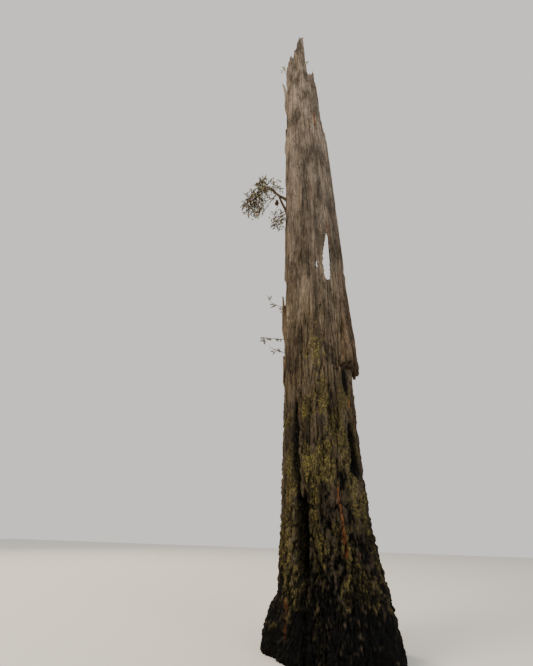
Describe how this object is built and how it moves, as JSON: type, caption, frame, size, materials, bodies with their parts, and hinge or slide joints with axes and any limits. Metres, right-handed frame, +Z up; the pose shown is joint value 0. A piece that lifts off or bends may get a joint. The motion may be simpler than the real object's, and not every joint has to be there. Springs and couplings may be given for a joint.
{
  "type": "standing dead redwood trunk",
  "caption": "Standing dead redwood trunk with a broken hollow top, a split back, fire scars near the foot, a hanging slab on one side and a small living bough.",
  "frame": {"origin": "on the flat cut at ground level, near the centre of the trunk's foot", "axes": "+Z up the trunk, -Y towards the viewer of the picture, +X to the viewer's right"},
  "size_m": [4.5628, 3.0335, 28.0803],
  "materials": {
    "bark": "rough fibrous bark, charred in places",
    "slab": "rough torn bark and wood",
    "splinter": "weathered split wood",
    "bough": "rough bark",
    "deadwood": "weathered bare wood",
    "dead_leaves": "matt, dry",
    "needles": "satin needles",
    "shoot_needles": "satin young needles"
  },
  "bodies": {
    "root": {"trunk": "bark", "slab_right": "slab", "splinter_upper_left": "splinter", "splinter_high_left": "splinter", "splinter_middle_left": "splinter", "splinter_lower_left": "splinter", "bough_outer": "bough", "bough_lower": "bough", "bough_upper": "bough", "dead_twigs": "deadwood", "dead_clump": "dead_leaves", "foliage_upper": "needles", "foliage_outer": "needles", "foliage_hanging": "needles", "shoot_left_a": "shoot_needles", "shoot_left_b": "shoot_needles", "shoot_left_c": "shoot_needles", "shoot_rim_left": "shoot_needles", "shoot_rim_right": "shoot_needles"}
  },
  "joints": []
}
